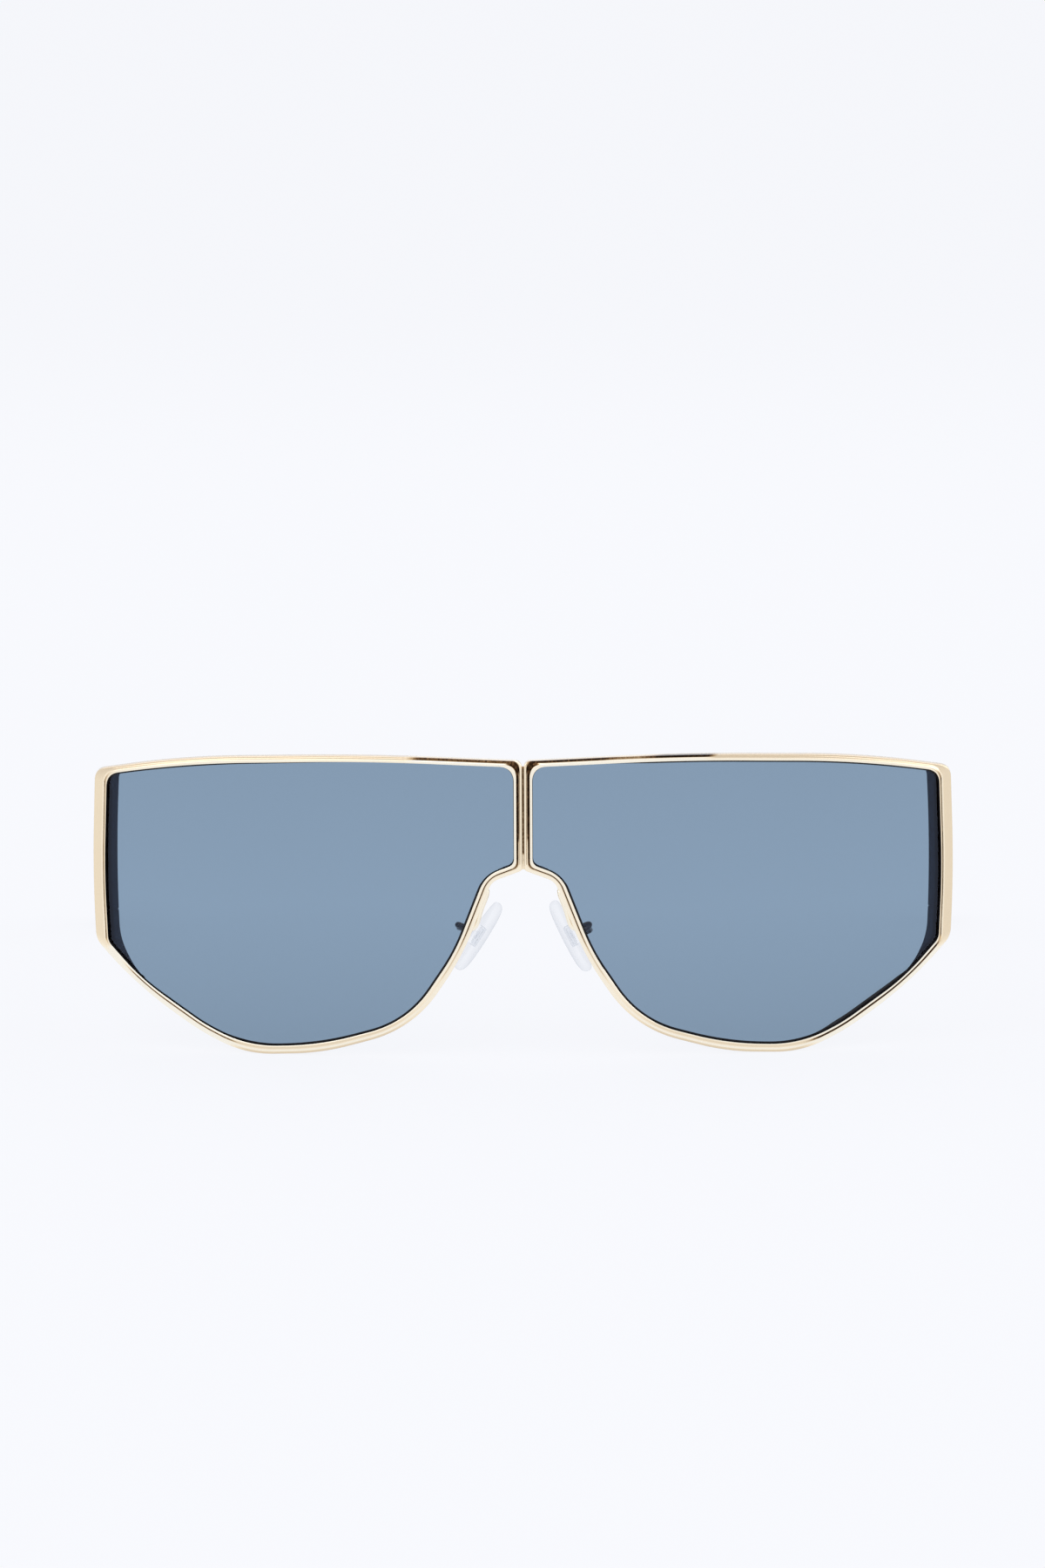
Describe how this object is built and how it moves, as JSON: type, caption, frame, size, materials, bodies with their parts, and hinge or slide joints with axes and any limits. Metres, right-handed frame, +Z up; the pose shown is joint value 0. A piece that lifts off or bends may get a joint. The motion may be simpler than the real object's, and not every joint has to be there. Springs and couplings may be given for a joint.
{
  "type": "sunglasses",
  "caption": "Oversized flat-top mask sunglasses with a stepped gold rim around each tinted lens, clear nose pads that rock and wide black folding temples.",
  "frame": {"origin": "middle of the footprint, on the surface that the open sunglasses stand on", "axes": "+X towards the viewer's right as seen from the front, +Y from the front back along the temples, +Z up; the front faces -Y"},
  "size_m": [0.1602, 0.1506, 0.0515],
  "materials": {
    "gold_plate": "polished pale gold plating",
    "hinge_metal": "satin gold-coloured metal",
    "lens_tint": "clear polished plastic with an even blue-grey tint",
    "black_gloss": "polished black plastic",
    "clear_silicone": "clear silicone, lightly frosted",
    "clear_core": "clear hard plastic"
  },
  "bodies": {
    "front": {"bridge_brace": "gold_plate", "rim_left": "gold_plate", "rim_right": "gold_plate", "lens_left": "lens_tint", "lens_right": "lens_tint", "endpiece_upper_left": "black_gloss", "endpiece_upper_right": "black_gloss", "endpiece_lower_left": "black_gloss", "endpiece_lower_right": "black_gloss", "closing_screw_left": "gold_plate", "closing_screw_right": "gold_plate", "hinge_front_left": "hinge_metal", "hinge_front_right": "hinge_metal", "hinge_screw_left": "hinge_metal", "hinge_screw_right": "hinge_metal", "pad_arm_left": "gold_plate", "pad_arm_right": "gold_plate", "pad_box_left": "hinge_metal", "pad_box_right": "hinge_metal", "pad_screw_left": "hinge_metal", "pad_screw_right": "hinge_metal"},
    "temple_arm_left": {"temple_left": "black_gloss", "hinge_temple_left": "hinge_metal", "temple_rivet_1_left": "hinge_metal", "temple_rivet_2_left": "hinge_metal"},
    "pad_left": {"nose_pad_left": "clear_silicone", "pad_insert_left": "clear_core"},
    "temple_arm_right": {"temple_right": "black_gloss", "hinge_temple_right": "hinge_metal", "temple_rivet_1_right": "hinge_metal", "temple_rivet_2_right": "hinge_metal"},
    "pad_right": {"nose_pad_right": "clear_silicone", "pad_insert_right": "clear_core"}
  },
  "joints": [
    {"name": "temple_left_fold", "type": "hinge", "parent": "front", "child": "temple_arm_left", "pos_m": [-0.0712, -0.05133, 0.033], "axis": [0, 0, -1], "range_deg": [0, 96.3]},
    {"name": "temple_right_fold", "type": "hinge", "parent": "front", "child": "temple_arm_right", "pos_m": [0.0712, -0.05133, 0.033], "axis": [0, 0, 1], "range_deg": [0, 91.8]},
    {"name": "pad_left_rock", "type": "hinge", "parent": "front", "child": "pad_left", "pos_m": [-0.00974, -0.06664, 0.02086], "axis": [-0.1392, 0.9903, 0], "range_deg": [-13, 7]},
    {"name": "pad_right_rock", "type": "hinge", "parent": "front", "child": "pad_right", "pos_m": [0.01017, -0.06666, 0.02062], "axis": [0.1392, 0.9903, 0], "range_deg": [-13, 7]}
  ]
}
